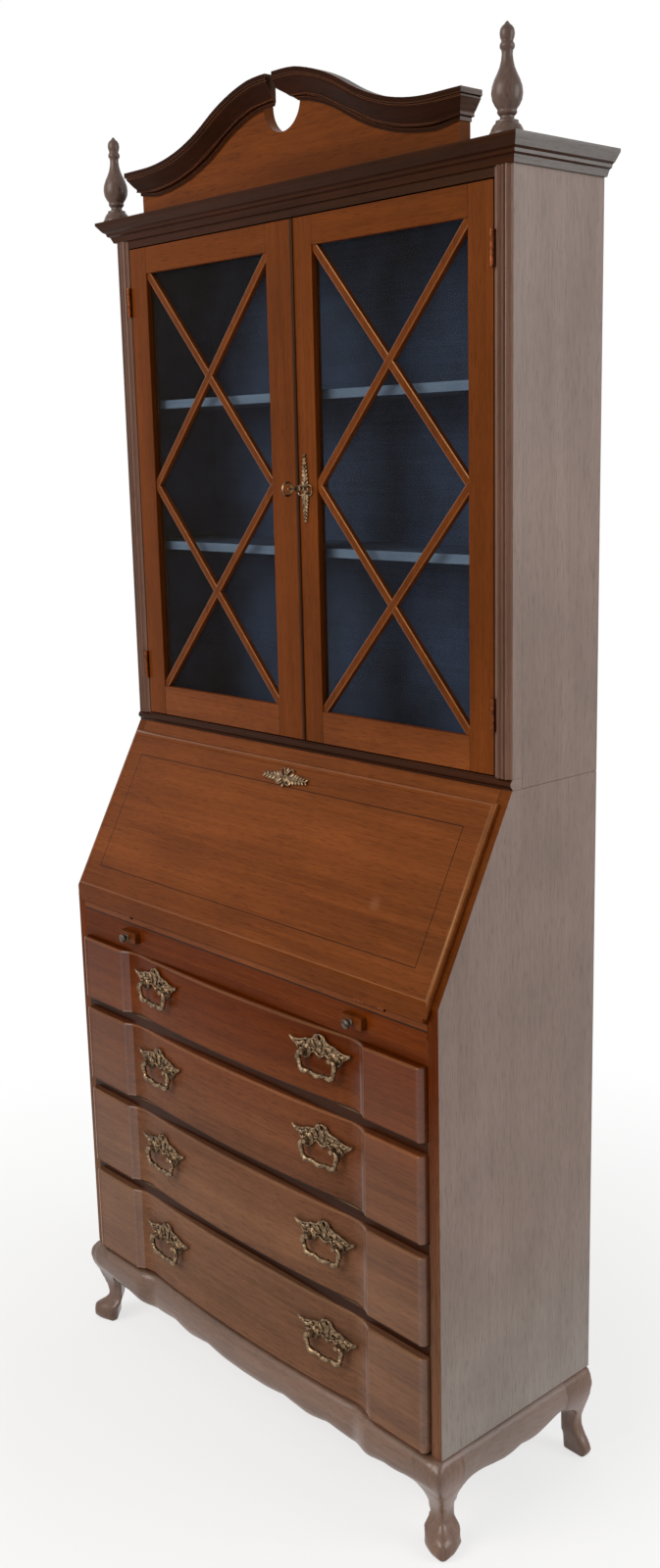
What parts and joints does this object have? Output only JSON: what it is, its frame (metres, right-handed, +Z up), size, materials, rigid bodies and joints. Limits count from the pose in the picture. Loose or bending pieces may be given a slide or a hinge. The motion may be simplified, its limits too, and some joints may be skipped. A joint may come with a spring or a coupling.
{
  "type": "bureau bookcase",
  "caption": "Mahogany slant-front bureau with serpentine drawers on cabriole bracket feet, under a glazed bookcase with broken-arch pediment",
  "frame": {"origin": "floor under the middle of the whole piece", "axes": "X to the right, Y to the back, Z up"},
  "size_m": [0.91, 0.352, 2.0723],
  "materials": {
    "polished_mahogany": "polished",
    "secondary_wood": "matte",
    "antique_brass": "aged",
    "door_glass": "clear"
  },
  "bodies": {
    "case": {"base_rails": "polished_mahogany", "bookcase_back": "secondary_wood", "bookcase_bottom": "secondary_wood", "bookcase_rails": "polished_mahogany", "bookcase_sides": "polished_mahogany", "bookcase_top": "polished_mahogany", "bureau_back": "secondary_wood", "bureau_bottom": "secondary_wood", "bureau_sides": "polished_mahogany", "bureau_top": "polished_mahogany", "corner_pilasters": "polished_mahogany", "cornice": "polished_mahogany", "drawer_rails": "polished_mahogany", "finials": "polished_mahogany", "front_apron": "polished_mahogany", "hinge_case_leaves": "antique_brass", "legs": "polished_mahogany", "pediment_board": "polished_mahogany", "pediment_mouldings": "polished_mahogany", "pigeonholes": "secondary_wood", "runners_and_guides": "secondary_wood", "shelves": "secondary_wood", "writing_board": "polished_mahogany"},
    "left_door": {"door_left_frame": "polished_mahogany", "door_left_glass": "door_glass", "door_left_hinge_leaves": "antique_brass"},
    "right_door": {"door_right_frame": "polished_mahogany", "door_right_glass": "door_glass", "door_right_hinge_leaves": "antique_brass", "door_escutcheon": "antique_brass", "door_lock": "antique_brass"},
    "key": {"door_key": "antique_brass"},
    "fall": {"fall_front": "polished_mahogany", "fall_hinge_leaves": "antique_brass", "fall_lock": "antique_brass", "fall_escutcheon": "antique_brass"},
    "left_loper": {"loper_left": "polished_mahogany", "loper_knob_left": "polished_mahogany"},
    "right_loper": {"loper_right": "polished_mahogany", "loper_knob_right": "polished_mahogany"},
    "drawer_1": {"drawer_1_front": "polished_mahogany", "drawer_1_box": "secondary_wood", "drawer_1_pull_plates": "antique_brass"},
    "bail_1_left": {"drawer_1_bail_left": "antique_brass"},
    "bail_1_right": {"drawer_1_bail_right": "antique_brass"},
    "drawer_2": {"drawer_2_front": "polished_mahogany", "drawer_2_box": "secondary_wood", "drawer_2_pull_plates": "antique_brass"},
    "bail_2_left": {"drawer_2_bail_left": "antique_brass"},
    "bail_2_right": {"drawer_2_bail_right": "antique_brass"},
    "drawer_3": {"drawer_3_front": "polished_mahogany", "drawer_3_box": "secondary_wood", "drawer_3_pull_plates": "antique_brass"},
    "bail_3_left": {"drawer_3_bail_left": "antique_brass"},
    "bail_3_right": {"drawer_3_bail_right": "antique_brass"},
    "drawer_4": {"drawer_4_front": "polished_mahogany", "drawer_4_box": "secondary_wood", "drawer_4_pull_plates": "antique_brass"},
    "bail_4_left": {"drawer_4_bail_left": "antique_brass"},
    "bail_4_right": {"drawer_4_bail_right": "antique_brass"}
  },
  "joints": [
    {"name": "left_door_swing", "type": "hinge", "parent": "case", "child": "left_door", "pos_m": [-0.3978, -0.0087, 1.493], "axis": [0, 0, -1], "range_deg": [0, 105]},
    {"name": "right_door_swing", "type": "hinge", "parent": "case", "child": "right_door", "pos_m": [0.3978, -0.0087, 1.493], "axis": [0, 0, 1], "range_deg": [0, 105]},
    {"name": "key_turn", "type": "hinge", "parent": "right_door", "child": "key", "pos_m": [0.026, -0.005, 1.493], "axis": [0, 1, 0], "range_deg": [-90, 90]},
    {"name": "fall_swing", "type": "hinge", "parent": "case", "child": "fall", "pos_m": [0, -0.1523, 0.798], "axis": [1, 0, 0], "range_deg": [0, 118.4]},
    {"name": "left_loper_slide", "type": "slide", "parent": "case", "child": "left_loper", "axis": [0, -1, 0], "range_m": [0, 0.2]},
    {"name": "right_loper_slide", "type": "slide", "parent": "case", "child": "right_loper", "axis": [0, -1, 0], "range_m": [0, 0.2]},
    {"name": "drawer_1_slide", "type": "slide", "parent": "case", "child": "drawer_1", "axis": [0, -1, 0], "range_m": [0, 0.22]},
    {"name": "bail_1_left_swing", "type": "hinge", "parent": "drawer_1", "child": "bail_1_left", "pos_m": [-0.20166, -0.1678, 0.697], "axis": [-0.9981, 0.0624, 0], "range_deg": [0, 85]},
    {"name": "bail_1_right_swing", "type": "hinge", "parent": "drawer_1", "child": "bail_1_right", "pos_m": [0.20166, -0.1678, 0.697], "axis": [-0.9981, -0.0624, 0], "range_deg": [0, 85]},
    {"name": "drawer_2_slide", "type": "slide", "parent": "case", "child": "drawer_2", "axis": [0, -1, 0], "range_m": [0, 0.22]},
    {"name": "bail_2_left_swing", "type": "hinge", "parent": "drawer_2", "child": "bail_2_left", "pos_m": [-0.20166, -0.1678, 0.558], "axis": [-0.9981, 0.0624, 0], "range_deg": [0, 85]},
    {"name": "bail_2_right_swing", "type": "hinge", "parent": "drawer_2", "child": "bail_2_right", "pos_m": [0.20166, -0.1678, 0.558], "axis": [-0.9981, -0.0624, 0], "range_deg": [0, 85]},
    {"name": "drawer_3_slide", "type": "slide", "parent": "case", "child": "drawer_3", "axis": [0, -1, 0], "range_m": [0, 0.22]},
    {"name": "bail_3_left_swing", "type": "hinge", "parent": "drawer_3", "child": "bail_3_left", "pos_m": [-0.20166, -0.1678, 0.4055], "axis": [-0.9981, 0.0624, 0], "range_deg": [0, 85]},
    {"name": "bail_3_right_swing", "type": "hinge", "parent": "drawer_3", "child": "bail_3_right", "pos_m": [0.20166, -0.1678, 0.4055], "axis": [-0.9981, -0.0624, 0], "range_deg": [0, 85]},
    {"name": "drawer_4_slide", "type": "slide", "parent": "case", "child": "drawer_4", "axis": [0, -1, 0], "range_m": [0, 0.22]},
    {"name": "bail_4_left_swing", "type": "hinge", "parent": "drawer_4", "child": "bail_4_left", "pos_m": [-0.20166, -0.1678, 0.244], "axis": [-0.9981, 0.0624, 0], "range_deg": [0, 85]},
    {"name": "bail_4_right_swing", "type": "hinge", "parent": "drawer_4", "child": "bail_4_right", "pos_m": [0.20166, -0.1678, 0.244], "axis": [-0.9981, -0.0624, 0], "range_deg": [0, 85]}
  ]
}
